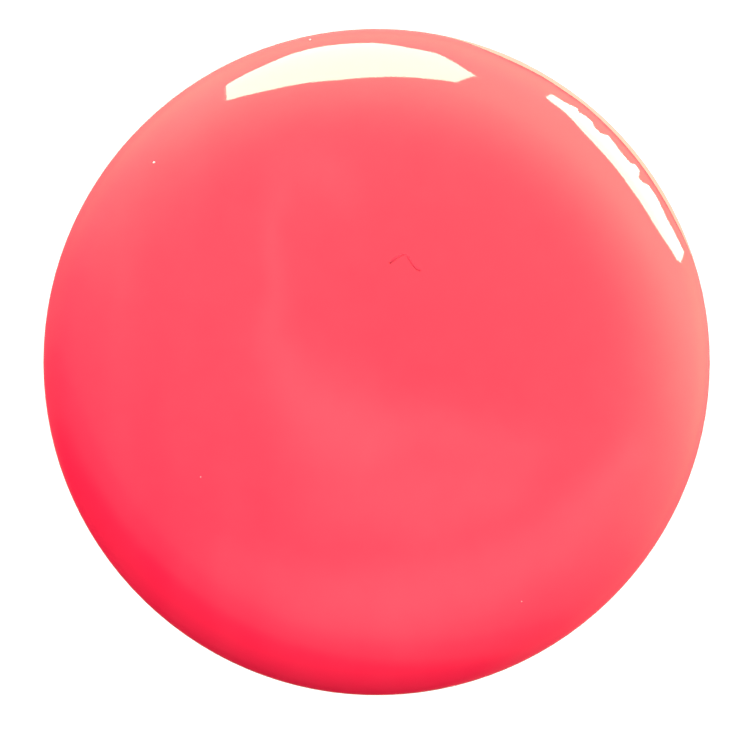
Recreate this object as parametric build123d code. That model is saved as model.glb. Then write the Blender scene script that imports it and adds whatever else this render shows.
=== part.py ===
"""Round nail polish bottle with its brush closure, pull-off overcap and domed drop of colour.

The bottle stands on the plane Z = 0 with its axis on Z. From the outside in, it comes apart as
an overcap that pulls straight up, a slim brush handle that unscrews, and a glass bottle that holds
the lacquer and two loose mixing balls. The overcap is closed by a round disc, and a drop of the
bottle's own lacquer stands on that disc, held by the disc's edge, to show the shade. All sizes are
in millimetres.
"""

from build123d import *
import os
from math import cos, log, radians, sin, tan

# ---------------------------------------------------------------- driving dimensions
FIT = 0.05               # clearance of pieces that sit in each other
SEAT_GAP = 0.05          # clearance of faces that rest on each other

BODY_R = 14.0            # outer radius of the glass
BODY_TOP = 40.0          # flat shoulder of the glass
GLASS_WALL = 2.4
HEEL_ROUND = 2.2         # round between the wall and the foot
SHOULDER_ROUND = 2.4
FOOT_INNER_R = 10.4      # the foot ring runs from here to the heel
FOOT_SLOPE = 0.8         # how far the foot's inner side leans in
PUSH_UP = 0.7            # depth of the recess under the base
CAVITY_FLOOR = 5.0       # thick glass base
CAVITY_ROUND = 3.0

NECK_R = 5.7             # root of the neck's thread
NECK_TOP = 51.4
NECK_BORE_R = 3.2
NECK_FOOT_ROUND = 0.7    # where the neck meets the shoulder
NECK_BORE_FOOT = 37.8    # where the neck's bore opens into the cavity
NECK_BEAD_R = 6.3        # transfer bead under the thread
NECK_BEAD_Z = 42.4
NECK_BEAD_HEIGHT = 1.1
NECK_BEAD_SLOPE = 0.25
NECK_BEAD_ROUND = 0.2
LIP_OUTER_ROUND = 0.6
LIP_INNER_ROUND = 0.4
BORE_FOOT_ROUND = 0.8

THREAD_PITCH = 2.117     # twelve turns to the inch
THREAD_TURNS = 2
THREAD_START = 45.0
THREAD_CREST_R = 6.4
THREAD_FOOT_WIDTH = 1.35
THREAD_CREST_WIDTH = 0.55
THREAD_ROOTED = 0.25     # how deep the ridge is rooted in the neck

LACQUER_LEVEL = 34.0
WETTING_GAP = 0.05       # between the lacquer and the glass
BRUSH_WELL_R = 2.9
BRUSH_WELL_DEPTH = 0.8   # of the well, below the brush's tip
BALL_R = 2.0
BALL_OFFSET = 6.6        # of each ball from the bottle's axis
BALL_CHANNEL_R = 2.15

LABEL_R = 9.2
LABEL_THICKNESS = 0.12

STEM_R = 2.0
STEM_TIP_R = 1.6
STEM_TIP_Z = 22.0
STEM_TAPER_R = 1.85      # where the taper to the tip begins
STEM_TAPER_Z = 27.0
STEM_BEAD_R = 2.55       # keeps the gasket on the stem
STEM_BEAD_Z = 45.8
SOCKET_R = 1.2
SOCKET_TOP = 26.0
ANCHOR_SIZE = (2.0, 0.3, 1.6)
ANCHOR_HEADROOM = 0.2
BRISTLE_TIP_Z = 8.0
BRISTLE_HALF_WIDTH = 2.3
BRISTLE_HALF_DEPTH = 1.05

GASKET_THICKNESS = 1.0
GASKET_R = 6.0
GASKET_HOLE_R = 2.3
FLANGE_R = 6.2
FLANGE_THICKNESS = 0.9

INSERT_R = 7.6
INSERT_BORE_R = 6.55     # clears the neck's thread, so the closure also lifts straight off
INSERT_GROOVE_R = 7.1
INSERT_BOTTOM = 42.6
INSERT_TOP = 55.0
GROOVE_PLAY = 0.25       # how much wider the groove's mouth is than the ridge's foot

SKIRT_R = 8.5
SKIRT_BOTTOM = 41.0
SKIRT_TOP = 54.6
HANDLE_R = 7.0
HANDLE_FOOT = 56.8       # where the handle narrows from the skirt
HANDLE_TOP = 72.6
HANDLE_HOLLOW_R = 5.6
HANDLE_END_WALL = 1.6
GRIP_GROOVES = 28
GRIP_GROOVE_R = 0.32
GRIP_BOTTOM = 58.6
GRIP_TOP = 70.2
SNAP_BEAD_Z = 49.0
SNAP_BEAD_RISE = 0.15
SNAP_BEAD_HALF_HEIGHT = 0.4

WEIGHT_R = 5.3
WEIGHT_LENGTH = 11.0
WEIGHT_CHAMFER = 0.5

OVERCAP_R = 13.9
OVERCAP_WALL = 1.5
OVERCAP_BOTTOM = 40.6
OVERCAP_TOP = 75.6
SLEEVE_BORE_R = 8.8
SLEEVE_WALL = 0.9
SLEEVE_BOTTOM = 41.8
SLEEVE_WEB_Z = HANDLE_TOP + SEAT_GAP
SLEEVE_WEB = 1.2
SLEEVE_RIBS = 8
RIB_WIDTH = 0.9
RIB_BOTTOM = 43.3

DISC_R = 14.0
DISC_THICKNESS = 1.6
DISC_EDGE_ROUND = 0.35
SPIGOT_HEIGHT = 1.6

DROP_R = 13.9
CAPILLARY_LENGTH = 1.66  # of wet lacquer: surface tension against weight
CONTACT_ANGLE = 65       # degrees: slope of the drop where the disc's edge holds it
CAP_ANGLE = 2            # degrees: slope where the drop's nearly flat top takes over

# the stack between the neck's lip and the closure's ceiling
GASKET_BOTTOM = NECK_TOP + SEAT_GAP
GASKET_TOP = GASKET_BOTTOM + GASKET_THICKNESS
FLANGE_BOTTOM = GASKET_TOP + SEAT_GAP
FLANGE_TOP = FLANGE_BOTTOM + FLANGE_THICKNESS
CEILING = FLANGE_TOP + SEAT_GAP

# ---------------------------------------------------------------- helpers


def turned(points, rounds=None):
    """A solid of revolution about Z from (radius, height) corners. rounds: corner index to radius."""
    radii = [(rounds or {}).get(i, 0) for i in range(len(points))]
    outline = FilletPolyline(*points, radius=radii, close=True)
    return revolve(Plane.XZ * make_face(outline), Axis.Z)


def disc(radius, bottom, top):
    """An upright cylinder between two heights."""
    return Pos(0, 0, bottom) * Cylinder(radius, top - bottom, align=(Align.CENTER, Align.CENTER, Align.MIN))


def ring(outer, inner, bottom, top):
    """An upright tube between two heights."""
    return disc(outer, bottom, top) - disc(inner, bottom - 1, top + 1)


def around(piece, count):
    """Copies of a piece, evenly spaced about Z."""
    return [Rot(0, 0, 360 * step / count) * piece for step in range(count)]


def thread_ridge(foot_r, crest_r, foot_width, crest_width):
    """A helical ridge of trapezoid section, whose foot lies on foot_r and whose crest is at crest_r."""
    path = Helix(THREAD_PITCH, THREAD_PITCH * THREAD_TURNS, foot_r, center=(0, 0, THREAD_START))
    section_plane = Plane(origin=path @ 0, x_dir=(1, 0, 0), z_dir=path % 0)
    reach = crest_r - foot_r
    section = Polygon(
        (0, -foot_width / 2),
        (reach, -crest_width / 2),
        (reach, crest_width / 2),
        (0, foot_width / 2),
        align=None,
    )
    return sweep(section_plane * section, path=path, is_frenet=True)


# ---------------------------------------------------------------- the bottle and what it holds


def glass_bottle():
    """The bottle: thick base, round cavity, flat shoulder, and a neck with its bead and thread."""
    bead_top = NECK_BEAD_Z + NECK_BEAD_HEIGHT
    corners = [
        (0, PUSH_UP),
        (FOOT_INNER_R - FOOT_SLOPE, PUSH_UP),
        (FOOT_INNER_R, 0),
        (BODY_R, 0),
        (BODY_R, BODY_TOP),
        (NECK_R, BODY_TOP),
        (NECK_R, NECK_BEAD_Z),
        (NECK_BEAD_R, NECK_BEAD_Z + NECK_BEAD_SLOPE),
        (NECK_BEAD_R, bead_top - NECK_BEAD_SLOPE),
        (NECK_R, bead_top),
        (NECK_R, NECK_TOP),
        (NECK_BORE_R, NECK_TOP),
        (NECK_BORE_R, NECK_BORE_FOOT),
        (BODY_R - GLASS_WALL, BODY_TOP - GLASS_WALL),
        (BODY_R - GLASS_WALL, CAVITY_FLOOR),
        (0, CAVITY_FLOOR),
    ]
    rounds = {
        3: HEEL_ROUND,
        4: SHOULDER_ROUND,
        5: NECK_FOOT_ROUND,
        7: NECK_BEAD_ROUND,
        8: NECK_BEAD_ROUND,
        10: LIP_OUTER_ROUND,
        11: LIP_INNER_ROUND,
        12: BORE_FOOT_ROUND,
        13: CAVITY_ROUND,
        14: CAVITY_ROUND,
    }
    ridge = thread_ridge(NECK_R - THREAD_ROOTED, THREAD_CREST_R, THREAD_FOOT_WIDTH, THREAD_CREST_WIDTH)
    return turned(corners, rounds) + ridge


def lacquer():
    """The liquid as a solid, with a well around the brush and a channel around each ball."""
    wet_r = BODY_R - GLASS_WALL - WETTING_GAP
    floor = CAVITY_FLOOR + WETTING_GAP
    fill = turned(
        [(0, floor), (wet_r, floor), (wet_r, LACQUER_LEVEL), (0, LACQUER_LEVEL)],
        {1: CAVITY_ROUND - WETTING_GAP},
    )
    fill -= disc(BRUSH_WELL_R, BRISTLE_TIP_Z - BRUSH_WELL_DEPTH, LACQUER_LEVEL + 1)
    for side in (-1, 1):
        fill -= Pos(side * BALL_OFFSET, 0, 0) * disc(BALL_CHANNEL_R, CAVITY_FLOOR, LACQUER_LEVEL + 1)
    return fill


def mixing_ball(side):
    """One loose steel ball, lying on the glass floor."""
    return Pos(side * BALL_OFFSET, 0, CAVITY_FLOOR + SEAT_GAP + BALL_R) * Sphere(BALL_R)


def base_label():
    """The round label in the recess under the base."""
    top = PUSH_UP - SEAT_GAP
    return disc(LABEL_R, top - LABEL_THICKNESS, top)


# ---------------------------------------------------------------- the brush closure


def gasket():
    """The washer that seals the neck's lip. It is loose on the stem, above the stem's bead."""
    return ring(GASKET_R, GASKET_HOLE_R, GASKET_BOTTOM, GASKET_TOP)


def brush_stem():
    """The moulded rod: spigot and flange on top, gasket bead, taper, and the blind socket for the hair."""
    spigot_top = INSERT_TOP - 0.1
    corners = [
        (0, SOCKET_TOP),
        (SOCKET_R, SOCKET_TOP),
        (SOCKET_R, STEM_TIP_Z),
        (STEM_TIP_R, STEM_TIP_Z),
        (STEM_TAPER_R, STEM_TAPER_Z),
        (STEM_R, STEM_BEAD_Z - 4),
        (STEM_R, STEM_BEAD_Z),
        (STEM_BEAD_R, STEM_BEAD_Z + 0.5),
        (STEM_BEAD_R, STEM_BEAD_Z + 0.9),
        (STEM_R, STEM_BEAD_Z + 1.0),
        (STEM_R, FLANGE_BOTTOM),
        (FLANGE_R, FLANGE_BOTTOM),
        (FLANGE_R, FLANGE_TOP),
        (STEM_R, FLANGE_TOP),
        (STEM_R, spigot_top),
        (0, spigot_top),
    ]
    return turned(corners, {3: 0.15, 7: 0.2, 12: 0.2, 14: 0.3})


def bristle_anchor():
    """The folded steel staple that holds the hair in the socket."""
    centre_z = SOCKET_TOP - ANCHOR_HEADROOM - ANCHOR_SIZE[2] / 2
    return Pos(0, 0, centre_z) * Box(*ANCHOR_SIZE)


def bristles():
    """The tuft as one solid: round in the socket, flat and rounded at the tip."""
    root_r = SOCKET_R - FIT
    root_z = SOCKET_TOP - ANCHOR_HEADROOM - ANCHOR_SIZE[2] - 0.1
    length = STEM_TIP_Z - BRISTLE_TIP_Z
    stations = [
        (root_z, root_r, root_r),
        (STEM_TIP_Z, root_r, root_r),
        (STEM_TIP_Z - 0.30 * length, 0.70 * BRISTLE_HALF_WIDTH, 1.15 * BRISTLE_HALF_DEPTH),
        (STEM_TIP_Z - 0.65 * length, 0.95 * BRISTLE_HALF_WIDTH, BRISTLE_HALF_DEPTH),
        (STEM_TIP_Z - 0.85 * length, BRISTLE_HALF_WIDTH, 0.85 * BRISTLE_HALF_DEPTH),
        (BRISTLE_TIP_Z, 0.60 * BRISTLE_HALF_WIDTH, 0.40 * BRISTLE_HALF_DEPTH),
    ]
    return loft([Pos(0, 0, z) * Ellipse(half_width, half_depth) for z, half_width, half_depth in stations])


def thread_insert():
    """The threaded liner: a cup with a helical groove, and a hole that grips the stem's spigot."""
    corners = [
        (STEM_R + FIT, CEILING),
        (INSERT_BORE_R, CEILING),
        (INSERT_BORE_R, INSERT_BOTTOM),
        (INSERT_R, INSERT_BOTTOM),
        (INSERT_R, INSERT_TOP),
        (STEM_R + FIT, INSERT_TOP),
    ]
    groove = thread_ridge(
        INSERT_BORE_R - THREAD_ROOTED,
        INSERT_GROOVE_R,
        THREAD_FOOT_WIDTH + GROOVE_PLAY,
        THREAD_CREST_WIDTH + GROOVE_PLAY / 2,
    )
    return turned(corners, {2: 0.3, 3: 0.2, 4: 0.3}) - groove


def handle_shell():
    """The slim handle, open below, with grip grooves and a snap bead for the overcap."""
    hollow_bottom = INSERT_TOP + SEAT_GAP
    hollow_top = HANDLE_TOP - HANDLE_END_WALL
    corners = [
        (0, HANDLE_TOP),
        (HANDLE_R, HANDLE_TOP),
        (HANDLE_R, HANDLE_FOOT),
        (SKIRT_R, SKIRT_TOP),
        (SKIRT_R, SKIRT_BOTTOM),
        (INSERT_R + FIT, SKIRT_BOTTOM),
        (INSERT_R + FIT, hollow_bottom),
        (HANDLE_HOLLOW_R, hollow_bottom),
        (HANDLE_HOLLOW_R, hollow_top),
        (0, hollow_top),
    ]
    shell = turned(corners, {1: 1.0, 2: 1.2, 3: 0.8, 4: 0.3, 5: 0.2, 8: 0.6})
    bead_root = SKIRT_R - 0.3
    snap_bead = turned([
        (bead_root, SNAP_BEAD_Z - SNAP_BEAD_HALF_HEIGHT),
        (SKIRT_R, SNAP_BEAD_Z - SNAP_BEAD_HALF_HEIGHT),
        (SKIRT_R + SNAP_BEAD_RISE, SNAP_BEAD_Z),
        (SKIRT_R, SNAP_BEAD_Z + SNAP_BEAD_HALF_HEIGHT),
        (bead_root, SNAP_BEAD_Z + SNAP_BEAD_HALF_HEIGHT),
    ])
    groove = Pos(HANDLE_R, 0, 0) * disc(GRIP_GROOVE_R, GRIP_BOTTOM, GRIP_TOP)
    return shell + snap_bead - around(groove, GRIP_GROOVES)


def cap_weight():
    """The steel slug that lies loose in the handle's hollow and gives the handle its heft."""
    bottom = INSERT_TOP + SEAT_GAP
    slug = disc(WEIGHT_R, bottom, bottom + WEIGHT_LENGTH)
    return chamfer(slug.edges().filter_by(GeomType.CIRCLE), WEIGHT_CHAMFER)


# ---------------------------------------------------------------- the overcap and its drop


def overcap_shell():
    """The overcap's outer tube, as wide as the bottle."""
    inner = OVERCAP_R - OVERCAP_WALL
    corners = [
        (inner, OVERCAP_BOTTOM),
        (OVERCAP_R, OVERCAP_BOTTOM),
        (OVERCAP_R, OVERCAP_TOP),
        (inner, OVERCAP_TOP),
    ]
    return turned(corners, {0: 0.4, 1: 0.5, 2: 0.2})


def overcap_sleeve():
    """The inner sleeve that grips the handle: a ribbed tube closed by a web that rests on the handle."""
    sleeve_r = SLEEVE_BORE_R + SLEEVE_WALL
    rib_reach = OVERCAP_R - OVERCAP_WALL - FIT
    tube = ring(sleeve_r, SLEEVE_BORE_R, SLEEVE_BOTTOM, SLEEVE_WEB_Z)
    web = disc(rib_reach, SLEEVE_WEB_Z, SLEEVE_WEB_Z + SLEEVE_WEB)
    rooted = 0.1
    rib_length = rib_reach - sleeve_r + rooted
    rib_height = SLEEVE_WEB_Z - RIB_BOTTOM
    rib_box = Box(rib_length, RIB_WIDTH, rib_height, align=(Align.MIN, Align.CENTER, Align.MIN))
    rib = Pos(sleeve_r - rooted, 0, RIB_BOTTOM) * rib_box
    return tube + web + around(rib, SLEEVE_RIBS)


def top_disc():
    """The button that closes the overcap and carries the drop."""
    spigot_r = OVERCAP_R - OVERCAP_WALL - FIT
    seat = OVERCAP_TOP + SEAT_GAP
    top = OVERCAP_TOP + DISC_THICKNESS
    corners = [
        (0, OVERCAP_TOP - SPIGOT_HEIGHT),
        (spigot_r, OVERCAP_TOP - SPIGOT_HEIGHT),
        (spigot_r, seat),
        (DISC_R, seat),
        (DISC_R, top),
        (0, top),
    ]
    return turned(corners, {1: 0.3, 3: DISC_EDGE_ROUND})


def meniscus(slope):
    """The surface of a wide drop under its own weight, where it slopes by so many degrees.

    Returns the distance outwards and the depth below the flat top, from the exact profile of a
    flat-topped drop's edge.
    """
    half = radians(slope) / 2
    outwards = 2 * cos(half) + log(tan(half / 2))
    return CAPILLARY_LENGTH * outwards, CAPILLARY_LENGTH * 2 * sin(half)


def lacquer_drop():
    """The drop of lacquer: nearly flat on top, rounded by surface tension, held by the disc's edge."""
    base = OVERCAP_TOP + DISC_THICKNESS
    edge_reach, edge_depth = meniscus(CONTACT_ANGLE)
    side = []
    for slope in (CONTACT_ANGLE, 54, 43, 33, 25, 18, 12, 8, 4, CAP_ANGLE):
        reach, depth = meniscus(slope)
        side.append((DROP_R - edge_reach + reach, base + edge_depth - depth))
    edge_direction = (-cos(radians(CONTACT_ANGLE)), sin(radians(CONTACT_ANGLE)))
    cap_direction = (-cos(radians(CAP_ANGLE)), sin(radians(CAP_ANGLE)))
    cap_r, cap_z = side[-1]
    top = (0, cap_z + cap_r * tan(radians(CAP_ANGLE) / 2))
    surface = Spline(*side, tangents=(edge_direction, cap_direction))
    cap = TangentArc(side[-1], top, tangent=cap_direction)
    underside = Polyline(top, (0, base), (DROP_R, base))
    return revolve(Plane.XZ * make_face(surface + cap + underside), Axis.Z)


# ---------------------------------------------------------------- build

PIECES = {
    "glass_bottle": glass_bottle(),
    "lacquer": lacquer(),
    "mixing_ball_left": mixing_ball(-1),
    "mixing_ball_right": mixing_ball(1),
    "base_label": base_label(),
    "gasket": gasket(),
    "brush_stem": brush_stem(),
    "bristle_anchor": bristle_anchor(),
    "bristles": bristles(),
    "thread_insert": thread_insert(),
    "handle_shell": handle_shell(),
    "cap_weight": cap_weight(),
    "overcap_shell": overcap_shell(),
    "overcap_sleeve": overcap_sleeve(),
    "top_disc": top_disc(),
    "lacquer_drop": lacquer_drop(),
}

os.makedirs("parts", exist_ok=True)
for name, piece in PIECES.items():
    export_step(piece, f"parts/{name}.step")
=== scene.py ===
"""The looks of a round nail polish bottle whose overcap carries a drop of its own lacquer.

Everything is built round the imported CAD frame, in metres, with +Z up and the bottle's axis on Z.
Lengths that belong to the looks alone are given in millimetres and turned into metres by MM.
"""

import math
import random

import bpy
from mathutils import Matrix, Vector, noise


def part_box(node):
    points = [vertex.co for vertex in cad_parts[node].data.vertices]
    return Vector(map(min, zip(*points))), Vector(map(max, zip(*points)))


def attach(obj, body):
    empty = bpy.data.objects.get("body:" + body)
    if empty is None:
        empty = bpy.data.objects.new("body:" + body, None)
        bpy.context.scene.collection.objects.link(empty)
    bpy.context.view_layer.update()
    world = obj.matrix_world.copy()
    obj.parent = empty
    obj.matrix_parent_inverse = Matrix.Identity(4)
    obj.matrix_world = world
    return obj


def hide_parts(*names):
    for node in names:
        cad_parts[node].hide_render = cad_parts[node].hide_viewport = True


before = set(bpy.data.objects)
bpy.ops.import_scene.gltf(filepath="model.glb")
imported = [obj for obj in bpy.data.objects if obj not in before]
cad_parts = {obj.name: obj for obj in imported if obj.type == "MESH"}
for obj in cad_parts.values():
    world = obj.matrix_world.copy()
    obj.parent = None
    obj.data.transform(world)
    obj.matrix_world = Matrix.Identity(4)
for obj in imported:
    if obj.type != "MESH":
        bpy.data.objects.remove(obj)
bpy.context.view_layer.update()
MM = 0.001

# ---------------------------------------------------------------- places, from the frame

FILL_LOW, FILL_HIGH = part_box("lacquer")
TUFT_LOW, TUFT_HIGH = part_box("bristles")
DISC_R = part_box("top_disc")[1].x
DISC_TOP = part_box("lacquer_drop")[0].z
NECK_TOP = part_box("glass_bottle")[1].z

# The bottle's hollow. The CAD keeps its lacquer a small gap off the glass.
WETTING_GAP = 0.05 * MM
CAVITY_R = FILL_HIGH.x + WETTING_GAP
CAVITY_FLOOR = FILL_LOW.z - WETTING_GAP
CAVITY_TOP = 37.6 * MM
CAVITY_ROUND = 3.0 * MM
FILL_LEVEL = FILL_HIGH.z
NECK_BORE_R = 3.2 * MM

# ---------------------------------------------------------------- mesh helpers


def new_mesh(name, points, faces, smooth=True):
    """A mesh object from points and faces, linked to the scene."""
    mesh = bpy.data.meshes.new(name)
    mesh.from_pydata([tuple(p) for p in points], [], faces)
    mesh.validate()
    mesh.polygons.foreach_set("use_smooth", [smooth] * len(mesh.polygons))
    mesh.update()
    made = bpy.data.objects.new(name, mesh)
    bpy.context.scene.collection.objects.link(made)
    return made


def grid_faces(rows, columns, first=0):
    """Quads between neighbouring rings of points, each ring closed on itself."""
    faces = []
    for row in range(rows - 1):
        for column in range(columns):
            after = (column + 1) % columns
            a = first + row * columns + column
            b = first + row * columns + after
            faces.append((a, b, b + columns, a + columns))
    return faces


def lathe(name, profile, segments=256, shape=None):
    """A closed solid of revolution. The profile runs from the axis at the bottom to the axis at the top.

    shape(point, angle) may move a point of the surface.
    """
    rings = profile[1:-1]
    points = []
    for radius, height in rings:
        for step in range(segments):
            angle = math.tau * step / segments
            place = Vector((radius * math.cos(angle), radius * math.sin(angle), height))
            points.append(shape(place, angle) if shape else place)
    faces = grid_faces(len(rings), segments)
    for end, row in ((profile[0], 0), (profile[-1], len(rings) - 1)):
        pole = len(points)
        place = Vector((0, 0, end[1]))
        points.append(shape(place, 0.0) if shape else place)
        for step in range(segments):
            a = row * segments + step
            b = row * segments + (step + 1) % segments
            faces.append((pole, b, a) if row == 0 else (pole, a, b))
    return new_mesh(name, points, faces)


def arc(centre, radius, start, end, steps):
    """Points of a circular arc in the profile plane, angles in degrees."""
    turns = [math.radians(start + (end - start) * i / steps) for i in range(steps + 1)]
    return [(centre[0] + radius * math.cos(t), centre[1] + radius * math.sin(t)) for t in turns]


def smoothstep(low, high, value):
    """0 below low, 1 above high, and a smooth rise between them."""
    share = min(1.0, max(0.0, (value - low) / (high - low)))
    return share * share * (3 - 2 * share)


def ripple(angle, waves, height, seed):
    """Seamless noise round a circle, between -1 and 1."""
    around = Vector((waves * math.cos(angle), waves * math.sin(angle), height))
    return noise.noise(around + Vector((seed,) * 3))


def tubes(name, paths, sides=6):
    """Round strands in one mesh. Each path is a list of (point, radius). A strand's rings don't twist."""
    points, faces = [], []
    for path in paths:
        first = len(points)
        across = None
        for i, (place, radius) in enumerate(path):
            before = path[max(i - 1, 0)][0]
            after = path[min(i + 1, len(path) - 1)][0]
            along = (after - before).normalized()
            across = along.orthogonal() if across is None else across - along * across.dot(along)
            across.normalize()
            beside = along.cross(across)
            for side in range(sides):
                turn = math.tau * side / sides
                points.append(place + radius * (math.cos(turn) * across + math.sin(turn) * beside))
        faces += grid_faces(len(path), sides, first)
        faces.append(tuple(first + side for side in reversed(range(sides))))
        last = first + (len(path) - 1) * sides
        faces.append(tuple(last + side for side in range(sides)))
    return new_mesh(name, points, faces)


def coat(name, wall, thickness, reach, segments=160):
    """A thin skin of lacquer on a wall of revolution, closed all round.

    wall: (radius, height) points in order along it. reach(angle) is the share of the wall that is wet.
    The skin's free side lies thickness(share, angle) to the left of the way along the wall, or to its
    right where that is negative. Its other side lies a hair's breadth to the right.
    """
    behind = 0.01 * MM
    steps = len(wall) - 1
    points = []
    for side in (0, 1):
        for i in range(steps + 1):
            for column in range(segments):
                angle = math.tau * column / segments
                share = reach(angle) * i / steps
                at = share * steps
                low = min(int(at), steps - 1)
                mix = at - low
                radius = wall[low][0] * (1 - mix) + wall[low + 1][0] * mix
                height = wall[low][1] * (1 - mix) + wall[low + 1][1] * mix
                tangent = (wall[low + 1][0] - wall[low][0], wall[low + 1][1] - wall[low][1])
                length = math.hypot(*tangent)
                leftwards = (-tangent[1] / length, tangent[0] / length)
                offset = -behind if side == 0 else thickness(i / steps, angle)
                radius += leftwards[0] * offset
                height += leftwards[1] * offset
                points.append((radius * math.cos(angle), radius * math.sin(angle), height))
    rows = steps + 1
    outer = grid_faces(rows, segments)
    inner = [tuple(reversed(face)) for face in grid_faces(rows, segments, rows * segments)]
    faces = outer + inner
    for row in (0, steps):
        for column in range(segments):
            after = (column + 1) % segments
            a = row * segments + column
            b = row * segments + after
            across = rows * segments
            ring = (a, a + across, b + across, b)
            faces.append(ring if row == 0 else tuple(reversed(ring)))
    return new_mesh(name, points, faces)


# ---------------------------------------------------------------- material helpers


class Material:
    """A node material: its shader, and short ways to add and join nodes."""

    def __init__(self, name, **sockets):
        self.made = bpy.data.materials.new(name)
        self.made.use_nodes = True
        self.tree = self.made.node_tree
        self.shader = self.tree.nodes["Principled BSDF"]
        for socket, value in sockets.items():
            self.shader.inputs[socket.replace("_", " ")].default_value = value

    def node(self, kind, **values):
        """A node of this kind. Values are its sockets or, for lower-case names it has, its settings."""
        made = self.tree.nodes.new("ShaderNode" + kind)
        for key, value in values.items():
            if hasattr(made, key):
                setattr(made, key, value)
            else:
                made.inputs[key.replace("_", " ")].default_value = value
        return made

    def join(self, output, target, socket=None):
        """Links an output to a socket of a node, or of the shader."""
        if socket is None:
            target, socket = self.shader, target
        self.tree.links.new(output, target.inputs[socket])

    def place(self, stretch=(1, 1, 1)):
        """Object coordinates in millimetres, stretched."""
        source = self.node("TexCoord")
        scale = self.node("Mapping")
        scale.inputs["Scale"].default_value = [1000 * s for s in stretch]
        self.join(source.outputs["Object"], scale, "Vector")
        return scale.outputs["Vector"]

    def noise(self, scale, detail=2.0, stretch=(1, 1, 1), roughness=0.5, distortion=0.0):
        """Noise with about `scale` features to a millimetre."""
        made = self.node("TexNoise", Scale=scale, Detail=detail, Roughness=roughness, Distortion=distortion)
        self.join(self.place(stretch), made, "Vector")
        return made.outputs["Fac"]

    def ramp(self, factor, stops, interpolation="LINEAR"):
        """Colours, or grey levels, along a factor."""
        made = self.node("ValToRGB")
        fill_ramp(made.color_ramp, stops, interpolation)
        self.join(factor, made, "Fac")
        return made.outputs["Color"]

    def blend(self, factor, first, second):
        """One colour over another. Each may be a colour or an output."""
        made = self.node("Mix", data_type="RGBA")
        for socket, value in ((0, factor), (6, first), (7, second)):
            if isinstance(value, bpy.types.NodeSocket):
                self.tree.links.new(value, made.inputs[socket])
            elif socket == 0:
                made.inputs[socket].default_value = value
            else:
                made.inputs[socket].default_value = (*value, 1)
        return made.outputs[2]

    def bump(self, height, strength, distance_mm, normal=None):
        """Turns a height into a normal."""
        made = self.node("Bump", Strength=strength, Distance=distance_mm * MM)
        self.join(height, made, "Height")
        if normal is not None:
            self.join(normal, made, "Normal")
        return made.outputs["Normal"]


def fill_ramp(color_ramp, stops, interpolation):
    """Sets a colour ramp's stops from (position, colour or grey level)."""
    color_ramp.interpolation = interpolation
    while len(color_ramp.elements) < len(stops):
        color_ramp.elements.new(0.5)
    for element, (position, value) in zip(color_ramp.elements, stops):
        element.position = position
        level = value if isinstance(value, tuple) else (value,) * 3
        element.color = (*level, 1)


def put(material, *objects):
    """Gives objects this material alone."""
    for target in objects:
        target.data.materials.clear()
        target.data.materials.append(material)


# ---------------------------------------------------------------- materials

CORAL = (0.97, 0.0135, 0.0570)
PALE_CORAL = (0.99, 0.300, 0.330)
PEACH = (0.58, 0.34, 0.23)
CREAM_PEACH = (0.72, 0.47, 0.33)
GLOSS_TINT = (1.0, 1.0, 0.62)


def lacquer_material(name, painted_reflection=False):
    """Cream lacquer under a wet gloss, paler at random; on the drop its paler strokes are painted
    reflection.
    """
    made = Material(name, Roughness=0.035, IOR=1.5)
    if painted_reflection:
        # Painted reflection: the drop's paler colour per point stands for faint mottled reflections on its
        # skin.
        paler = made.node("Attribute", attribute_name="painted_reflection").outputs["Fac"]
    else:
        pigment = made.noise(0.28, 3.0, distortion=1.2)
        paler = made.ramp(pigment, [(0.42, 0.02), (0.72, 0.07)], "EASE")
    made.join(made.blend(paler, CORAL, PALE_CORAL), "Base Color")
    made.shader.inputs["Specular Tint"].default_value = (*GLOSS_TINT, 1)
    skin = made.noise(0.45, 1.0)
    made.join(made.bump(skin, 0.25, 0.004), "Normal")
    return made.made


def glass_material():
    """Clear bottle glass with the slight waves of a blown wall."""
    made = Material(
        "clear_glass", Base_Color=(0.93, 0.96, 0.95, 1), Roughness=0.0, IOR=1.52, Transmission_Weight=1.0
    )
    waves = made.noise(0.11, 1.5, stretch=(1, 1, 0.6))
    made.join(made.bump(waves, 0.35, 0.05), "Normal")
    return made.made


def moulded_plastic(name, color, roughness, peel=0.25, spread=0.05):
    """Gloss moulding: orange peel, a fine scuffed roughness and a faint change of tone."""
    made = Material(name, Roughness=roughness, IOR=1.5)
    made.shader.inputs["Specular IOR Level"].default_value = 0.34
    tone = made.noise(0.09, 3.0)
    darker = tuple(channel * (1 - spread) for channel in color)
    made.join(made.blend(tone, darker, color), "Base Color")
    haze = made.noise(0.5, 5.0, roughness=0.6)
    made.join(made.ramp(haze, [(0.3, roughness * 0.9), (0.7, roughness * 1.15)]), "Roughness")
    fine = made.noise(1.3, 2.0)
    made.join(made.bump(fine, peel, 0.004), "Normal")
    return made.made


def soft_plastic(name, color, translucency=0.25):
    """Natural polypropylene: waxy, slightly see-through, with faint flow lines along Z."""
    made = Material(name, Roughness=0.42, IOR=1.49, Subsurface_Weight=translucency)
    made.shader.inputs["Subsurface Radius"].default_value = (1.2, 1.1, 1.0)
    made.shader.inputs["Subsurface Scale"].default_value = 0.6 * MM
    flow = made.noise(1.1, 3.0, stretch=(1, 1, 0.12))
    dull = tuple(channel * 0.9 for channel in color)
    made.join(made.blend(flow, dull, color), "Base Color")
    made.join(made.bump(flow, 0.3, 0.01), "Normal")
    return made.made


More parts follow.
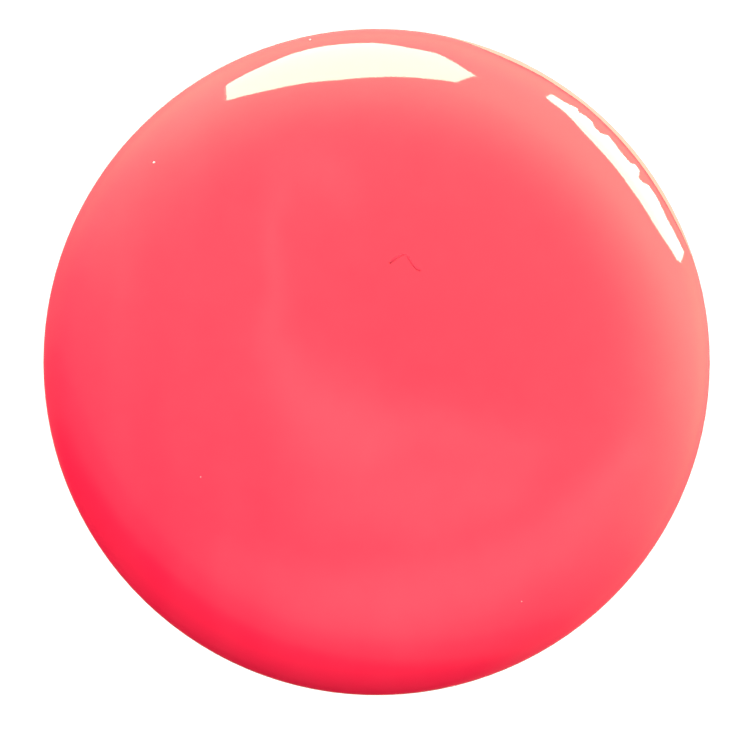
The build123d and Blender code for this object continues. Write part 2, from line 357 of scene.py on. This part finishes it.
def steel_material(name, color, roughness, stretch):
    """Steel with fine tool or drawing marks, whose direction the stretch sets."""
    made = Material(name, Metallic=1.0, Roughness=roughness)
    marks = made.noise(3.0, 5.0, stretch=stretch, roughness=0.65)
    made.join(made.blend(marks, tuple(channel * 0.82 for channel in color), color), "Base Color")
    made.join(made.ramp(marks, [(0.3, roughness * 0.7), (0.8, roughness * 1.5)]), "Roughness")
    made.join(made.bump(marks, 0.4, 0.006), "Normal")
    return made.made


def foam_material():
    """Closed-cell foam: fine dimples, with painted shade darkening their floors."""
    made = Material("gasket_foam", Roughness=0.75)
    cells = made.node("TexVoronoi", Scale=5.0)
    made.join(made.place(), cells, "Vector")
    # Painted shade: darker towards each cell's middle, where the bump sinks the dimple.
    painted_dimple_shade = made.ramp(cells.outputs["Distance"], [(0.0, (0.70, 0.69, 0.66)), (0.6, (0.90, 0.89, 0.86))])
    made.join(painted_dimple_shade, "Base Color")
    made.join(made.bump(cells.outputs["Distance"], 0.6, 0.05), "Normal")
    return made.made


def paper_material():
    """Uncoated label paper: short fibres."""
    made = Material("label_paper", Roughness=0.85)
    fibres = made.noise(6.0, 6.0, stretch=(1, 0.35, 1), roughness=0.7, distortion=0.6)
    made.join(made.blend(fibres, (0.80, 0.785, 0.75), (0.93, 0.925, 0.90)), "Base Color")
    made.join(made.bump(fibres, 0.5, 0.02), "Normal")
    return made.made


def bristle_material():
    """Black nylon at the root, stained with lacquer towards the tip."""
    made = Material("bristle_nylon", Roughness=0.32)
    height = made.node("SeparateXYZ")
    made.join(made.place(), height, "Vector")
    streaks = made.noise(2.5, 2.0, stretch=(1, 1, 0.2))
    span = made.node("MapRange", From_Min=TUFT_LOW.z / MM, From_Max=TUFT_HIGH.z / MM)
    made.join(height.outputs["Z"], span, "Value")
    mixed = made.node("Math", operation="MULTIPLY_ADD")
    made.join(streaks, mixed, 0)
    mixed.inputs[1].default_value = 0.35
    made.join(span.outputs["Result"], mixed, 2)
    stops = [(0.70, CORAL), (0.95, (0.20, 0.012, 0.016)), (1.0, (0.035, 0.03, 0.03))]
    made.join(made.ramp(mixed.outputs[0], stops), "Base Color")
    return made.made


# ---------------------------------------------------------------- the drop on the disc

CAPILLARY_LENGTH = 1.66 * MM
# The drop's slope in degrees: at its foot, and where its rounded edge gives way to the flat cap.
CONTACT_ANGLE = 65.0
CAP_ANGLE = 2.0
# How far the skin is from an even surface. It is lowered by as much, so it stays inside the CAD drop.
WAVE = 0.0035 * MM


def meniscus(slope):
    """Reach outwards and depth below the flat top of a wide drop, where it slopes by so many degrees."""
    half = math.radians(slope) / 2
    reach = 2 * math.cos(half) + math.log(math.tan(half / 2))
    return CAPILLARY_LENGTH * reach, CAPILLARY_LENGTH * 2 * math.sin(half)


def drop_profile(edge_r):
    """The drop's outline from its foot on the disc, up the rounded edge, and over the flat top."""
    side_steps, cap_steps = 64, 46
    edge_reach, edge_depth = meniscus(CONTACT_ANGLE)
    outline = [(0.0, DISC_TOP)]
    for i in range(side_steps + 1):
        slope = CONTACT_ANGLE * (CAP_ANGLE / CONTACT_ANGLE) ** (i / side_steps)
        reach, depth = meniscus(slope)
        outline.append((edge_r - edge_reach + reach, DISC_TOP + edge_depth - depth))
    cap_r, cap_z = outline[-1]
    dome_r = cap_r / math.sin(math.radians(CAP_ANGLE))
    top = cap_z + dome_r * (1 - math.cos(math.radians(CAP_ANGLE)))
    for i in range(cap_steps - 1, -1, -1):
        radius = cap_r * i / cap_steps
        outline.append((radius, top - dome_r + math.sqrt(dome_r**2 - radius**2)))
    return outline


# Where the drop's foot draws back from the disc's edge, in degrees round the disc.
BARE_START, BARE_END = 14.0, 80.0
# How far the foot stays inside the disc's edge, in mm: all round, and the most more where it is bare.
EDGE_GAP, BARE_GAP, BARE_WOBBLE = 0.012, 0.085, 0.07


def foot_gap(angle):
    """How far the drop's foot stays inside the disc's edge."""
    degrees = math.degrees(angle) % 360
    rise = smoothstep(BARE_START, BARE_START + 16, degrees)
    fall = 1 - smoothstep(BARE_END - 14, BARE_END, degrees)
    bare = rise * fall
    wobble = 0.5 + 0.5 * ripple(angle, 9.0, 0.3, 4.0)
    return MM * (EDGE_GAP + bare * (BARE_GAP + BARE_WOBBLE * wobble))


# Paler strokes painted into the drop's colour, a painted reflection: (x, y, half width, strength) along
# each, in drop radii.
SWIRL_HOOK = [
    (-0.10, 0.50, 0.065, 0.35),
    (-0.17, 0.57, 0.075, 0.42),
    (-0.27, 0.57, 0.070, 0.36),
    (-0.31, 0.42, 0.038, 0.42),
    (-0.30, 0.22, 0.040, 0.50),
    (-0.32, 0.08, 0.055, 0.60),
    (-0.25, -0.06, 0.100, 0.80),
    (-0.14, -0.18, 0.150, 1.00),
    (-0.03, -0.22, 0.140, 1.05),
    (0.14, -0.20, 0.100, 0.70),
    (0.42, -0.26, 0.090, 0.50),
]
SWIRL_SWEEP = [
    (-0.44, -0.60, 0.090, 0.40),
    (-0.20, -0.70, 0.120, 0.90),
    (0.06, -0.72, 0.130, 1.10),
    (0.30, -0.65, 0.120, 0.95),
    (0.52, -0.53, 0.100, 0.70),
    (0.74, -0.27, 0.050, 0.45),
]
SWIRL_MIDDLE = [(-0.10, -0.38, 0.150, 0.60), (0.12, -0.40, 0.190, 0.72), (0.34, -0.36, 0.120, 0.62)]
SWIRL_GAIN = 0.080
# The clear pool that the painted reflection leaves, in drop radii.
POOL_X, POOL_Y, POOL_R = 0.28, 0.20, 0.46


def stroke_at(stroke, x, y):
    """How strong a stroke is at a place."""
    most = 0.0
    for (ax, ay, aw, a), (bx, by, bw, b) in zip(stroke, stroke[1:]):
        run_x, run_y = bx - ax, by - ay
        share = ((x - ax) * run_x + (y - ay) * run_y) / (run_x * run_x + run_y * run_y)
        share = max(0.0, min(1.0, share))
        away = math.hypot(x - ax - share * run_x, y - ay - share * run_y)
        width = aw + (bw - aw) * share
        most = max(most, (a + (b - a) * share) * math.exp(-((away / width) ** 2)))
    return most


def painted_reflection_at(x, y):
    """How much the painted reflection pales the drop's colour at a place on it, in drop radii."""
    warp = noise.noise_vector(Vector((3.1 * x, 3.1 * y, 7.0)))
    x += 0.025 * warp.x
    y += 0.025 * warp.y
    strokes = (SWIRL_HOOK, SWIRL_SWEEP, SWIRL_MIDDLE)
    stroked = sum(stroke_at(stroke, x, y) ** 3 for stroke in strokes) ** (1 / 3)
    pool = math.exp(-((math.hypot(x - POOL_X, y - POOL_Y) / POOL_R) ** 4))
    grain = 0.08 * noise.fractal(Vector((11 * x, 11 * y, 2.0)), 0.7, 2.0, 3)
    streaks = 0.16 * noise.noise(Vector((10 * x, 1.8 * y, 5.0))) * smoothstep(0.2, 0.5, -x)
    return max(0.0, SWIRL_GAIN * (stroked + 0.27 * (1 - pool) + grain + streaks))


def build_drop():
    """The wet drop, held round by the disc's edge."""
    foot_r = DISC_R

    def shape(place, angle):
        radius = math.hypot(place.x, place.y)
        near_edge = smoothstep(0.80, 1.0, radius / foot_r)
        drawn_in = 1 - near_edge * foot_gap(angle) / foot_r
        wave = WAVE * noise.noise(Vector((place.x, place.y, 0)) / (2.6 * MM))
        raised = place.z + wave - WAVE if place.z > DISC_TOP else place.z
        return Vector((place.x * drawn_in, place.y * drawn_in, raised))

    drop = lathe("wet_drop", drop_profile(foot_r), 384, shape)
    # Painted reflection: a paler colour per point, which the drop's material reads.
    layer = drop.data.attributes.new("painted_reflection", "FLOAT", "POINT")
    places = [(v.co.x / foot_r, v.co.y / foot_r) for v in drop.data.vertices]
    layer.data.foreach_set("value", [painted_reflection_at(x, y) for x, y in places])
    put(lacquer_material("drop_lacquer", painted_reflection=True), drop)
    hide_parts("lacquer_drop")
    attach(drop, "overcap")
    return drop


# ---------------------------------------------------------------- lacquer in the bottle


def build_bottled_lacquer(material):
    """The liquid, wet on the glass, with a small climb at the wall."""
    into_glass = 0.02 * MM
    climb, climb_width, climb_fade = 0.75 * MM, 4.5 * MM, 1.1 * MM
    wall_steps, climb_steps = 10, 15
    wall_r = CAVITY_R + into_glass
    corner_r = CAVITY_ROUND + into_glass
    floor_z = CAVITY_FLOOR - into_glass
    profile = [(0.0, floor_z)]
    profile += arc((wall_r - corner_r, floor_z + corner_r), corner_r, -90, 0, 16)
    for left in range(wall_steps, 0, -1):
        below = profile[-1][1]
        profile.append((wall_r, below + (FILL_LEVEL + climb - below) / left))
    for i in range(1, climb_steps + 1):
        away = climb_width * (i / climb_steps) ** 1.6
        profile.append((wall_r - away, FILL_LEVEL + climb * math.exp(-away / climb_fade)))
    profile.append((0.0, FILL_LEVEL))
    fill = lathe("bottled_lacquer", profile, 192)
    put(material, fill)
    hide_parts("lacquer")
    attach(fill, "bottle")


def build_wall_film(material):
    """What shaking left on the glass above the lacquer: a thin skin with an uneven edge."""
    wall = [(CAVITY_R, FILL_LEVEL + 0.2 * MM)]
    wall += arc((CAVITY_R - CAVITY_ROUND, CAVITY_TOP - CAVITY_ROUND), CAVITY_ROUND, 0, 88, 20)
    wall += [(CAVITY_R - CAVITY_ROUND - 1.2 * MM * i, CAVITY_TOP + 0.01 * MM * i) for i in (1, 2, 3)]

    def reach(angle):
        return 0.58 + 0.30 * ripple(angle, 1.6, 0.0, 11.0) + 0.10 * ripple(angle, 6.0, 0.0, 3.0)

    def thickness(share, angle):
        body = 0.05 + 0.03 * ripple(angle, 5.0, 4 * share, 8.0)
        return MM * (0.012 + body * (1 - share**3))

    film = coat("wall_film", wall, thickness, reach)
    put(material, film)
    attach(film, "bottle")


def build_neck_smear(material):
    """Lacquer wiped off the brush inside the neck's lip."""
    top = NECK_TOP - 0.45 * MM
    length, steps = 4.5 * MM, 14
    wall = [(NECK_BORE_R, top - length * i / steps) for i in range(steps + 1)]

    def reach(angle):
        runs = max(0.0, ripple(angle, 2.4, 0.0, 21.0)) * 0.9
        return 0.16 + runs + 0.08 * ripple(angle, 7.0, 0.0, 5.0) + 0.1

    def thickness(share, angle):
        bead = math.exp(-(((share - 0.85) / 0.16) ** 2))
        return -MM * (0.015 + 0.03 * (1 - share) + 0.05 * bead)

    smear = coat("neck_smear", wall, thickness, reach, 96)
    put(material, smear)
    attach(smear, "bottle")


# ---------------------------------------------------------------- the brush

SOCKET_DEPTH = 2.1 * MM
STEM_TIP = TUFT_HIGH.z - SOCKET_DEPTH
TUFT_TIP = TUFT_LOW.z
TUFT_HALF_WIDTH = 2.2 * MM
TUFT_HALF_DEPTH = 0.9 * MM
TUFT_ROOT_R = 1.08 * MM
HAIRS = 430
HAIR_R = 0.047 * MM
HAIR_STEPS = 9
# The stem tapers in two stretches: (height, radius) near its tip, at the bend and at the taper's top.
STEM_TAPER = [(STEM_TIP + 0.1 * MM, 1.6 * MM), (27.0 * MM, 1.85 * MM), (41.8 * MM, 2.0 * MM)]


def tuft_half_sizes(share):
    """The tuft's half width and half depth, from 0 at the stem's tip to 1 at the hair's tips."""
    wide = TUFT_ROOT_R + (TUFT_HALF_WIDTH - TUFT_ROOT_R) * smoothstep(0.0, 0.9, share)
    deep = TUFT_ROOT_R + (TUFT_HALF_DEPTH - TUFT_ROOT_R) * smoothstep(0.1, 1.0, share)
    return wide, deep


def build_bristles():
    """The hair: round in the socket, flat and fanned at the tip, cut to a rounded edge."""
    chance = random.Random(5)
    golden = math.pi * (3 - math.sqrt(5))
    strands = []
    for index in range(HAIRS):
        spread = math.sqrt((index + 0.5) / HAIRS)
        turn = index * golden
        u = spread * math.cos(turn)
        v = spread * math.sin(turn)
        cut = 1.9 * MM * u * u + 0.25 * MM * chance.random()
        lean = Vector((chance.gauss(0, 0.05), chance.gauss(0, 0.05), 0)) * MM
        length = STEM_TIP - TUFT_TIP - cut
        root = Vector((u * TUFT_ROOT_R, v * TUFT_ROOT_R, TUFT_HIGH.z))
        path = [(root, HAIR_R)]
        for i in range(HAIR_STEPS + 1):
            share = i / HAIR_STEPS
            wide, deep = tuft_half_sizes(share)
            height = STEM_TIP - share * length
            close = 1 - 0.10 * smoothstep(0.75, 1.0, share)
            place = Vector((u * wide * close, v * deep * close, height)) + lean * 2.2 * share
            thin = 1 - 0.55 * smoothstep(0.8, 1.0, share)
            path.append((place, HAIR_R * thin))
        strands.append(path)
    tuft = tubes("bristle_hair", strands, 5)
    put(bristle_material(), tuft)
    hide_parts("bristles")
    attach(tuft, "brush_cap")


def build_brush_load(material):
    """The lacquer that the tuft carries: it fills the hair and hangs as a bead at the tip."""
    start, end, rows = 0.30, 1.06, 60
    bead = 0.35 * MM
    length = STEM_TIP - TUFT_TIP
    profile = [(0.0, 1.0)] + [(1.0, 1 - i / rows) for i in range(1, rows)] + [(0.0, 0.0)]

    def shape(place, angle):
        """Moves a point of a unit cylinder, whose share runs from its top to its bottom, onto the load."""
        share = 1.0 - place.z
        if math.hypot(place.x, place.y) < 0.5:
            return Vector((0, 0, STEM_TIP - start * length if share < 0.5 else TUFT_TIP - bead))
        along = start + (end - start) * share
        wide, deep = tuft_half_sizes(min(along, 1.0))
        close = math.sqrt(max(0.0, 1 - ((share - 0.72) / 0.28) ** 2)) if share > 0.72 else 1.0
        thin = 0.80 + 0.27 * smoothstep(0.0, 0.45, share)
        thin += 0.05 * ripple(angle, 4.5, 1.5 * share, 2.0)
        swell = 1 + 0.10 * math.exp(-(((share - 0.80) / 0.16) ** 2))
        width = wide * thin * swell * close
        depth = (deep + 0.10 * MM * smoothstep(0.2, 0.8, share)) * thin * swell * close
        height = STEM_TIP - along * length
        return Vector((math.cos(angle) * width, math.sin(angle) * depth, height))

    load = lathe("brush_load", profile, 96, shape)
    load.data.flip_normals()
    put(material, load)
    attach(load, "brush_cap")


def stem_radius(height):
    """The stem's radius in its taper."""
    tip, bend, top = STEM_TAPER
    (low_z, low_r), (high_z, high_r) = (tip, bend) if height < bend[0] else (bend, top)
    return low_r + (high_r - low_r) * (height - low_z) / (high_z - low_z)


def build_stem_film(material):
    """Lacquer on the stem up to where it stood in the bottle, drawn out in runs."""
    low, high = STEM_TAPER[0][0], FILL_LEVEL + 3.0 * MM
    rows, segments = 40, 72
    # The film's thickness in mm. Its top edge dips under the stem's surface.
    buried = -0.05
    turns = [math.tau * column / segments for column in range(segments)]
    points = []
    for row in range(rows + 1):
        share = row / rows
        for angle in turns:
            top = high - (high - low) * (0.10 + 0.12 * ripple(angle, 1.3, 0.0, 9.0))
            height = low + (top - low) * share**0.8
            thick = 0.035 + 0.05 * (1 - share) + 0.02 * ripple(angle, 3.0, 5 * share, 6.0)
            if row == rows:
                thick = buried
            radius = stem_radius(height) + MM * thick
            points.append((radius * math.cos(angle), radius * math.sin(angle), height))
    # Two rings inside the stem close the film off.
    upper = len(points)
    lower = upper + segments
    for height, radius in ((high - 0.4 * (high - low), 1.2 * MM), (low, 1.25 * MM)):
        points += [(radius * math.cos(angle), radius * math.sin(angle), height) for angle in turns]
    faces = grid_faces(rows + 1, segments)
    last = rows * segments
    for column in range(segments):
        after = (column + 1) % segments
        faces.append((last + column, last + after, upper + after, upper + column))
        faces.append((upper + column, upper + after, lower + after, lower + column))
        faces.append((lower + column, lower + after, after, column))
    film = new_mesh("stem_film", points, faces)
    put(material, film)
    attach(film, "brush_cap")


# ---------------------------------------------------------------- small marks on the drop


def drop_height(x, y):
    """Height of the drop's skin at a place on it."""
    reach = math.hypot(x, y)
    skin = drop_profile(DISC_R)[1:]
    for (outer_r, outer_z), (inner_r, inner_z) in zip(skin, skin[1:]):
        if inner_r <= reach <= outer_r:
            return outer_z + (inner_z - outer_z) * (outer_r - reach) / (outer_r - inner_r)
    return DISC_TOP


# The fibre: (x, y) in drop radii and its half thickness in mm.
FIBRE = [
    (0.038, 0.291, 0.045),
    (0.053, 0.303, 0.064),
    (0.069, 0.314, 0.050),
    (0.081, 0.319, 0.036),
    (0.091, 0.313, 0.036),
    (0.099, 0.300, 0.052),
    (0.110, 0.284, 0.056),
    (0.121, 0.273, 0.060),
    (0.130, 0.270, 0.036),
]
# Specks of dust on the drop: (x, y) in drop radii and radius in mm.
DUST = [(-0.661, 0.592, 0.050), (-0.199, 0.964, 0.040), (0.43, -0.71, 0.018), (-0.52, -0.34, 0.016)]


def build_fibre():
    """A fine fibre, stained by the lacquer and half sunk in its skin."""
    path = []
    for x, y, size in FIBRE:
        place = Vector((x * DISC_R, y * DISC_R, 0))
        place.z = drop_height(place.x, place.y) - 0.50 * size * MM
        path.append((place, size * MM))
    fibre = tubes("caught_fibre", [path], 8)
    made = Material("fibre", Roughness=0.9)
    made.shader.inputs["Specular IOR Level"].default_value = 0.0
    made.join(made.blend(made.noise(4.0), (0.66, 0.038, 0.070), (0.76, 0.052, 0.084)), "Base Color")
    made.join(made.bump(made.noise(9.0), 0.3, 0.01), "Normal")
    put(made.made, fibre)
    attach(fibre, "overcap")
    return fibre


def build_dust():
    """Specks of pale dust that settled while the lacquer was wet."""
    paths = []
    for x, y, size in DUST:
        place = Vector((x * DISC_R, y * DISC_R, 0))
        place.z = drop_height(place.x, place.y)
        along = Vector((size * MM, 0.4 * size * MM, 0))
        ends = ((-1, 0.4), (0, 1.0), (1, 0.5))
        paths.append([(place + along * step, size * MM * girth) for step, girth in ends])
    dust = tubes("dust", paths, 7)
    made = Material("dust", Roughness=0.8)
    made.join(made.blend(made.noise(8.0), (0.85, 0.55, 0.50), (0.95, 0.80, 0.74)), "Base Color")
    made.join(made.bump(made.noise(12.0), 0.4, 0.01), "Normal")
    put(made.made, dust)
    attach(dust, "overcap")
    return dust


# ---------------------------------------------------------------- the CAD nodes' finishes


def finish_cad_nodes():
    """A procedural material for every CAD node that stays visible."""
    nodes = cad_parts
    put(glass_material(), nodes["glass_bottle"])
    put(moulded_plastic("overcap_plastic", PEACH, 0.22), nodes["overcap_shell"])
    put(moulded_plastic("disc_plastic", CREAM_PEACH, 0.20), nodes["top_disc"])
    put(moulded_plastic("handle_plastic", (0.028, 0.026, 0.028), 0.24, 0.35), nodes["handle_shell"])
    put(soft_plastic("sleeve_plastic", (0.62, 0.61, 0.58)), nodes["overcap_sleeve"])
    put(soft_plastic("insert_plastic", (0.64, 0.63, 0.60)), nodes["thread_insert"])
    put(soft_plastic("stem_plastic", (0.58, 0.58, 0.55), 0.35), nodes["brush_stem"])
    put(steel_material("weight_steel", (0.58, 0.59, 0.62), 0.28, (0.2, 0.2, 3.0)), nodes["cap_weight"])
    put(steel_material("staple_steel", (0.66, 0.66, 0.68), 0.22, (0.3, 3.0, 3.0)), nodes["bristle_anchor"])
    ball = steel_material("ball_steel", (0.72, 0.72, 0.73), 0.09, (0.6, 0.6, 0.6))
    put(ball, nodes["mixing_ball_left"], nodes["mixing_ball_right"])
    put(foam_material(), nodes["gasket"])
    put(paper_material(), nodes["base_label"])


# ---------------------------------------------------------------- studio

BRIGHT_SIDE = math.radians(62.5)    # the studio's bright side, round Z from +X

# The two softboxes' outlines: (towards the left seen from the bottle, height above the floor), in mm.
TOP_BOX_AWAY = 350 * MM
TOP_BOX_TURN = math.radians(90)
TOP_BOX = [
    (200, 430), (190, 230), (180, 215), (130, 185), (90, 145), (60, 135), (0, 155), (-40, 200), (-75, 220),
    (-105, 280), (-130, 345), (-105, 530), (-65, 570), (0, 605), (45, 615), (90, 575), (135, 540),
]
RIGHT_BOX_AWAY = 170 * MM
RIGHT_BOX_TURN = math.radians(37)
RIGHT_BOX = [
    (62, 122), (60, 79), (48, 49), (44, 71), (36, 56), (31, 57), (30, 76), (25, 77), (21, 42), (17, 51),
    (13, 60), (4, 60), (2, 26), (-2, 29), (-5, 76), (-9, 69), (-11, 39), (-16, 33), (-28, 48), (-47, 42),
    (-51, 84), (-53, 102), (-51, 121), (-28, 152), (-6, 160), (29, 157), (48, 139),
]
TOP_BOX_LIGHT = (26, 26, 29)
RIGHT_BOX_LIGHT = (26, 26, 28)

BRIGHT_LAMP = 7.5
ROOM_LEVEL = 0.42
GLOW_PEAK = 6.0
# Glow for the gloss, as a share of the peak, from the dark side (0) to the bright side (1).
GLOW_BY_SIDE = [
    (0.14, (0.0, 0.0, 0.0)),
    (0.20, (0.06, 0.06, 0.08)),
    (0.30, (0.15, 0.15, 0.20)),
    (0.45, (0.35, 0.35, 0.41)),
    (0.60, (0.65, 0.65, 0.69)),
    (0.75, (0.93, 0.93, 0.94)),
    (0.90, (0.92, 0.92, 0.90)),
]
# The same glow by height: below the bottle (0), level (0.5), overhead (1).
GLOW_BY_HEIGHT = [
    (0.00, (0.36, 0.36, 0.28)),
    (0.24, (0.44, 0.44, 0.34)),
    (0.40, (0.78, 0.78, 0.62)),
    (0.54, (0.96, 0.96, 0.84)),
    (0.71, (1.00, 1.00, 1.00)),
    (0.84, (0.98, 0.98, 0.98)),
    (0.93, (0.88, 0.88, 0.88)),
    (0.97, (0.76, 0.76, 0.76)),
    (1.00, (0.58, 0.58, 0.58)),
]
# What the eye sees through glass, by height.
SEEN_THROUGH_GLASS = [(0.10, 0.22), (0.34, 0.70), (0.42, 0.88), (0.60, 0.88), (0.72, 0.60), (0.95, 0.32)]
# What lights the lacquer through glass, by side, as a share of its peak.
THROUGH_GLASS_PEAK = 2.4
LIGHT_THROUGH_GLASS = [(0.0, 0.50), (0.4, 0.58), (0.8, 0.68)]

# The drop in the frame: its width as a share of the frame's, and its centre's shift right and up.
DROP_IN_FRAME = 0.8890
DROP_RIGHT, DROP_UP = 0.0021, 0.01725
LENS, SENSOR = 135.0, 36.0


def softbox(name, outline, away, turn, radiance):
    """A lit panel that only reflections see, upright, facing the bottle."""
    out = Vector((math.cos(turn), math.sin(turn), 0))
    left = Vector((-math.sin(turn), math.cos(turn), 0))
    points = [out * away + left * side * MM + Vector((0, 0, height * MM)) for side, height in outline]
    panel = new_mesh(name, points, [tuple(range(len(points)))], smooth=False)
    made = bpy.data.materials.new(name)
    made.use_nodes = True
    tree = made.node_tree
    tree.nodes.clear()
    glow = tree.nodes.new("ShaderNodeEmission")
    glow.inputs["Color"].default_value = (*radiance, 1)
    glow.inputs["Strength"].default_value = 1.0
    output = tree.nodes.new("ShaderNodeOutputMaterial")
    tree.links.new(glow.outputs[0], output.inputs[0])
    put(made, panel)
    panel.visible_camera = False
    panel.visible_diffuse = False
    panel.visible_transmission = False
    panel.visible_shadow = False


def build_floor():
    """A plain, pale floor that stays out of the gloss."""
    half = 1.5
    z = -0.02 * MM
    corners = [(-half, -half, z), (half, -half, z), (half, half, z), (-half, half, z)]
    floor = new_mesh("floor", corners, [(0, 1, 2, 3)], smooth=False)
    made = Material("floor_white", Roughness=0.9, Base_Color=(0.82, 0.82, 0.82, 1))
    made.shader.inputs["Specular IOR Level"].default_value = 0.0
    made.shader.inputs["Emission Color"].default_value = (1, 1, 1, 1)
    made.shader.inputs["Emission Strength"].default_value = 0.35
    put(made.made, floor)
    floor.visible_glossy = False
    return floor


def lamp(name, turn, rise, away, size, power, lights, glossy=False):
    """A soft rectangular light aimed at the middle of the bottle.

    turn and rise are degrees, away and size metres, power watts. lights is a light-linking collection.
    """
    data = bpy.data.lights.new(name, "AREA")
    data.shape = "RECTANGLE"
    data.size, data.size_y = size
    data.energy = power
    made = bpy.data.objects.new(name, data)
    bpy.context.scene.collection.objects.link(made)
    turn, rise = math.radians(turn), math.radians(rise)
    direction = Vector((math.cos(rise) * math.cos(turn), math.cos(rise) * math.sin(turn), math.sin(rise)))
    middle = Vector((0, 0, DISC_TOP / 2))
    made.location = middle + direction * away
    made.rotation_euler = direction.to_track_quat("Z", "Y").to_euler()
    made.visible_camera = False
    made.visible_glossy = glossy
    made.visible_transmission = False
    made.light_linking.receiver_collection = lights
    return made


def linking(name, objects, state):
    """A light-linking collection that includes or excludes these objects."""
    made = bpy.data.collections.new(name)
    for target in objects:
        made.objects.link(target)
    for entry in made.collection_objects:
        entry.light_linking.link_state = state
    return made


def build_lamps(floor, on_top):
    """The studio's lamps. The bright side lights the drop, and front fills light the rest of the bottle."""
    all_but_floor = linking("all_but_floor", [floor], "EXCLUDE")
    sides_only = linking("sides_only", [floor, *on_top], "EXCLUDE")
    floor_only = linking("floor_only", [floor], "INCLUDE")
    for name, turn in (("lamp_left", 135), ("lamp_right", 18)):
        lamp(name, turn, 40, away=0.9, size=(0.5, 0.5), power=BRIGHT_LAMP, lights=all_but_floor)
    lamp("strip_left", 205, 12, away=0.45, size=(0.10, 0.34), power=0.85, lights=sides_only, glossy=True)
    lamp("strip_right", 315, 8, away=0.55, size=(0.05, 0.30), power=0.30, lights=sides_only, glossy=True)
    lamp("front_fill", 265, 25, away=0.9, size=(0.6, 0.6), power=3.0, lights=sides_only)
    data = bpy.data.lights.new("floor_sun", "SUN")
    data.energy = 2.6
    data.angle = math.radians(40)
    sun = bpy.data.objects.new("floor_sun", data)
    bpy.context.scene.collection.objects.link(sun)
    sun.visible_glossy = False
    sun.light_linking.receiver_collection = floor_only


def build_world():
    """An even room for soft light, white to the eye, and a one-sided glow for the gloss."""
    world = bpy.data.worlds.new("studio")
    bpy.context.scene.world = world
    world.use_nodes = True
    tree = world.node_tree
    tree.nodes.clear()

    def node(kind, **settings):
        made = tree.nodes.new("ShaderNode" + kind)
        for key, value in settings.items():
            setattr(made, key, value)
        return made

    def ramp(factor, stops, interpolation):
        made = node("ValToRGB")
        fill_ramp(made.color_ramp, stops, interpolation)
        tree.links.new(factor, made.inputs["Fac"])
        return made.outputs["Color"]

    def background(color, strength=1.0):
        made = node("Background")
        made.inputs["Strength"].default_value = strength
        if isinstance(color, tuple):
            made.inputs["Color"].default_value = (*color, 1)
        else:
            tree.links.new(color, made.inputs["Color"])
        return made.outputs[0]

    def mix(factor, first, second):
        made = node("MixShader")
        tree.links.new(factor, made.inputs[0])
        tree.links.new(first, made.inputs[1])
        tree.links.new(second, made.inputs[2])
        return made.outputs[0]

    def half_range(output):
        made = node("MapRange")
        made.inputs["From Min"].default_value = -1
        made.inputs["From Max"].default_value = 1
        tree.links.new(output, made.inputs["Value"])
        return made.outputs["Result"]

    def soft_bounce(path):
        """1 for the light that a matt surface behind glass gathers, 0 for what the eye sees through it."""
        made = node("Math", operation="GREATER_THAN")
        made.inputs[1].default_value = 0.5
        tree.links.new(path.outputs["Diffuse Depth"], made.inputs[0])
        return made.outputs[0]

    direction = node("TexCoord").outputs["Generated"]
    towards = node("VectorMath", operation="DOT_PRODUCT")
    tree.links.new(direction, towards.inputs[0])
    towards.inputs[1].default_value = (math.cos(BRIGHT_SIDE), math.sin(BRIGHT_SIDE), 0)
    side = half_range(towards.outputs["Value"])
    split = node("SeparateXYZ")
    tree.links.new(direction, split.inputs[0])
    height = half_range(split.outputs["Z"])

    glow = ramp(side, GLOW_BY_SIDE, "CARDINAL")
    lift = ramp(height, GLOW_BY_HEIGHT, "CARDINAL")
    gloss = node("VectorMath", operation="MULTIPLY")
    tree.links.new(glow, gloss.inputs[0])
    tree.links.new(lift, gloss.inputs[1])
    through = ramp(height, SEEN_THROUGH_GLASS, "EASE")
    onto_lacquer = ramp(side, LIGHT_THROUGH_GLASS, "EASE")

    path = node("LightPath")
    room = background((1, 1, 1), ROOM_LEVEL)
    reflected = background(gloss.outputs[0], GLOW_PEAK)
    refracted = mix(soft_bounce(path), background(through), background(onto_lacquer, THROUGH_GLASS_PEAK))
    seen = background((1, 1, 1))
    world_light = mix(path.outputs["Is Glossy Ray"], room, reflected)
    world_light = mix(path.outputs["Is Transmission Ray"], world_light, refracted)
    world_light = mix(path.outputs["Is Camera Ray"], world_light, seen)
    output = node("OutputWorld")
    tree.links.new(world_light, output.inputs["Surface"])


def build_camera():
    """Straight above the drop, as far away as the lens needs."""
    data = bpy.data.cameras.new("camera")
    data.lens = LENS
    data.sensor_width = SENSOR
    frame_width = 2 * DISC_R / DROP_IN_FRAME
    away = frame_width * LENS / SENSOR
    data.clip_start = 10 * MM
    camera = bpy.data.objects.new("camera", data)
    bpy.context.scene.collection.objects.link(camera)
    camera.location = (-DROP_RIGHT * frame_width, -DROP_UP * frame_width, DISC_TOP + away)
    bpy.context.scene.camera = camera


# ---------------------------------------------------------------- build

bpy.context.scene.view_settings.view_transform = "Standard"

wet = lacquer_material("lacquer_coral")
build_camera()
build_world()
softbox("softbox_top", TOP_BOX, TOP_BOX_AWAY, TOP_BOX_TURN, TOP_BOX_LIGHT)
softbox("softbox_right", RIGHT_BOX, RIGHT_BOX_AWAY, RIGHT_BOX_TURN, RIGHT_BOX_LIGHT)
finish_cad_nodes()
drop = build_drop()
fibre = build_fibre()
dust = build_dust()
build_bottled_lacquer(wet)
build_wall_film(wet)
build_neck_smear(wet)
build_bristles()
build_brush_load(wet)
build_stem_film(wet)
build_lamps(build_floor(), [drop, fibre, dust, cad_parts["top_disc"]])
